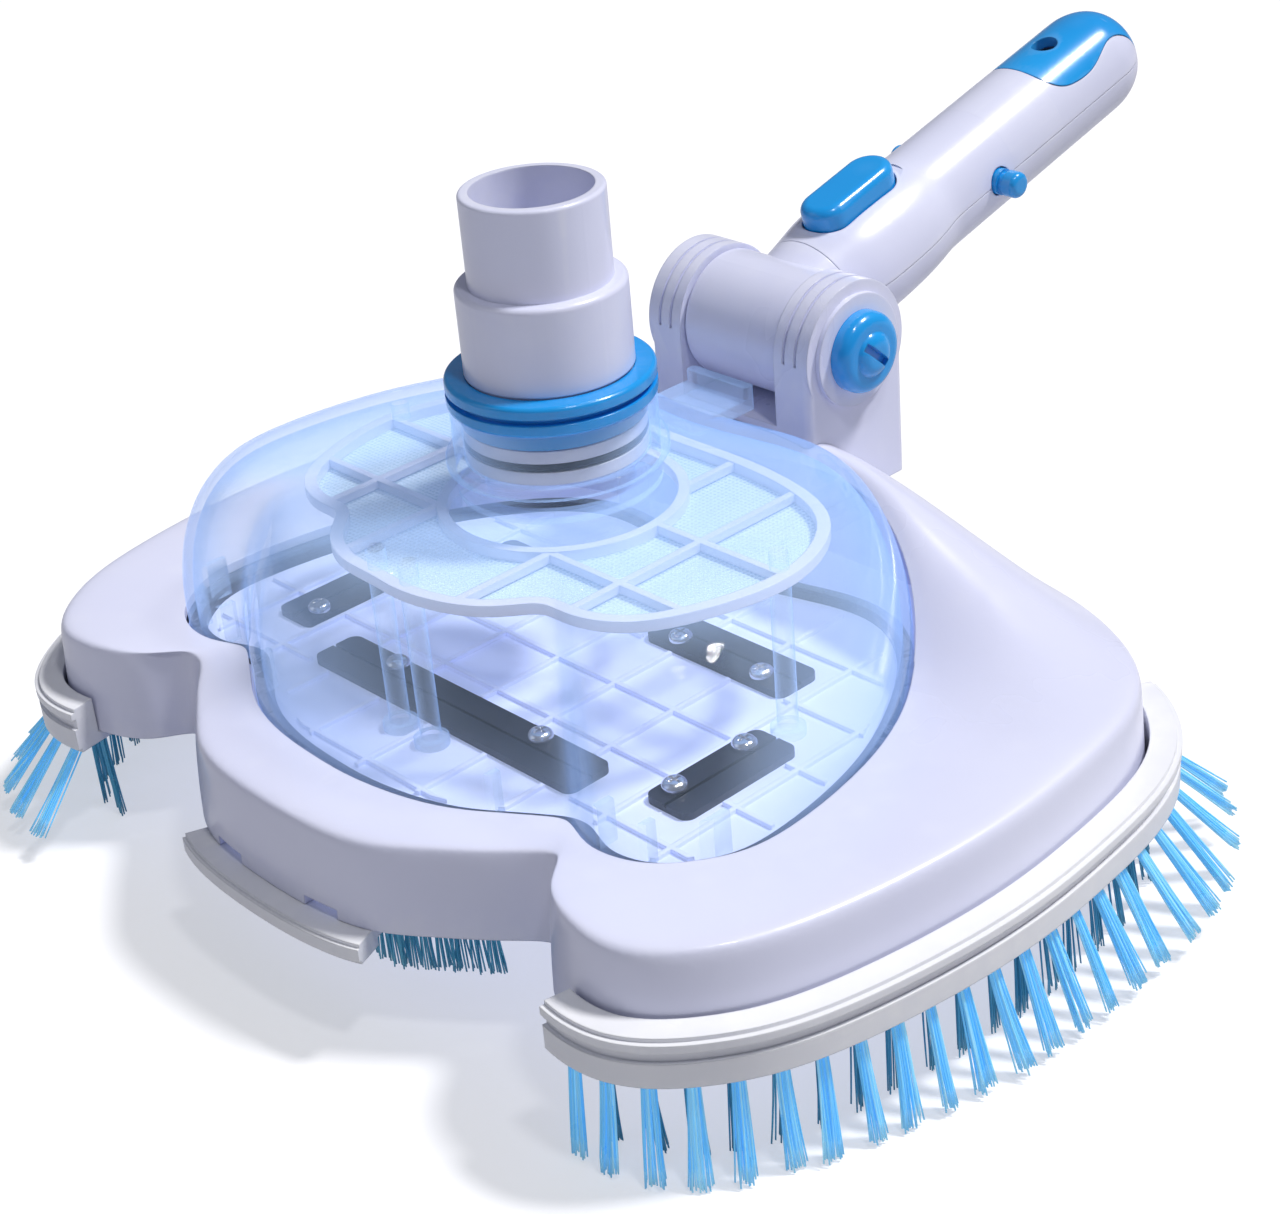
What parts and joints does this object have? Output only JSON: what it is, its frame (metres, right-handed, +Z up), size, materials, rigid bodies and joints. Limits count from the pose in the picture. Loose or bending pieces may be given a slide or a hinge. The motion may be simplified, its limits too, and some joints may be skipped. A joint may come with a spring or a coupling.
{
  "type": "manual vacuum head",
  "caption": "Weighted two-lobed pool vacuum head with clear dome, swivelling stepped hose spigot, tilting snap-in pole handle and blue brush rows.",
  "frame": {"origin": "on the floor under the hose spigot, on the head's plane of symmetry; bristle tips stand on z = 0", "axes": "+X across the wings, -Y towards the front lobe, +Y towards the pole handle, +Z up along the hose spigot"},
  "size_m": [0.2936, 0.3068, 0.158],
  "materials": {
    "white_abs": "satin gloss moulded ABS, cool white",
    "bumper_white": "soft satin white bumper",
    "clear_blue": "clear blue-tinted moulded plastic",
    "azure_plastic": "glossy azure plastic",
    "black_rubber": "satin black rubber",
    "bright_steel": "bright stainless steel",
    "blue_bristle": "light blue nylon filament",
    "teal_bristle": "dark teal nylon filament",
    "screen_mesh": "fine pale aqua filter mesh",
    "cast_weight": "rough cast ballast"
  },
  "bodies": {
    "head": {"upper_body": "white_abs", "base_plate": "white_abs", "filter_frame": "white_abs", "pivot_bracket": "white_abs", "brush_strip_front": "white_abs", "bumper_left": "bumper_white", "bumper_right": "bumper_white", "bumper_front": "bumper_white", "dome_cover": "clear_blue", "screen_pillars": "clear_blue", "retaining_ring": "azure_plastic", "pivot_bolt": "azure_plastic", "pivot_nut": "azure_plastic", "flap_front": "black_rubber", "flap_right": "black_rubber", "flap_left": "black_rubber", "flap_rear_right": "black_rubber", "flap_rear_left": "black_rubber", "dome_gasket": "black_rubber", "flap_screws": "bright_steel", "body_screws": "bright_steel", "bracket_screws": "bright_steel", "bristles_outer_left": "blue_bristle", "bristles_outer_right": "blue_bristle", "bristles_inner_left": "blue_bristle", "bristles_inner_right": "blue_bristle", "bristles_front": "teal_bristle", "filter_mesh": "screen_mesh", "ballast_left": "cast_weight", "ballast_right": "cast_weight"},
    "handle": {"handle_lower": "white_abs", "handle_upper": "white_abs", "handle_end_cap": "azure_plastic", "button_spring": "bright_steel", "snap_spring": "bright_steel"},
    "spigot": {"hose_spigot": "white_abs", "spigot_seal": "black_rubber"},
    "button": {"thumb_button": "azure_plastic"},
    "pin_left": {"snap_pin_left": "azure_plastic"},
    "pin_right": {"snap_pin_right": "azure_plastic"}
  },
  "joints": [
    {"name": "handle_tilt", "type": "hinge", "parent": "head", "child": "handle", "pos_m": [0, 0.0705, 0.103], "axis": [1, 0, 0], "range_deg": [-14, 80]},
    {"name": "hose_swivel", "type": "hinge", "parent": "head", "child": "spigot", "pos_m": [0, 0, 0.117], "axis": [0, 0, 1], "continuous": true},
    {"name": "button_press", "type": "slide", "parent": "handle", "child": "button", "axis": [0, 0.2588, -0.9659], "range_m": [0, 0.003], "stiffness_N_per_m": 400, "springref_m": -0.002},
    {"name": "pin_right_slide", "type": "slide", "parent": "handle", "child": "pin_right", "axis": [-1, 0, 0], "range_m": [0, 0.007]},
    {"name": "pin_left_slide", "type": "slide", "parent": "handle", "child": "pin_left", "axis": [1, 0, 0], "range_m": [0, 0.007]}
  ],
  "couplings": [
    {"joint": "pin_right_slide", "follows": "button_press", "ratio": 2.333},
    {"joint": "pin_left_slide", "follows": "button_press", "ratio": 2.333}
  ]
}
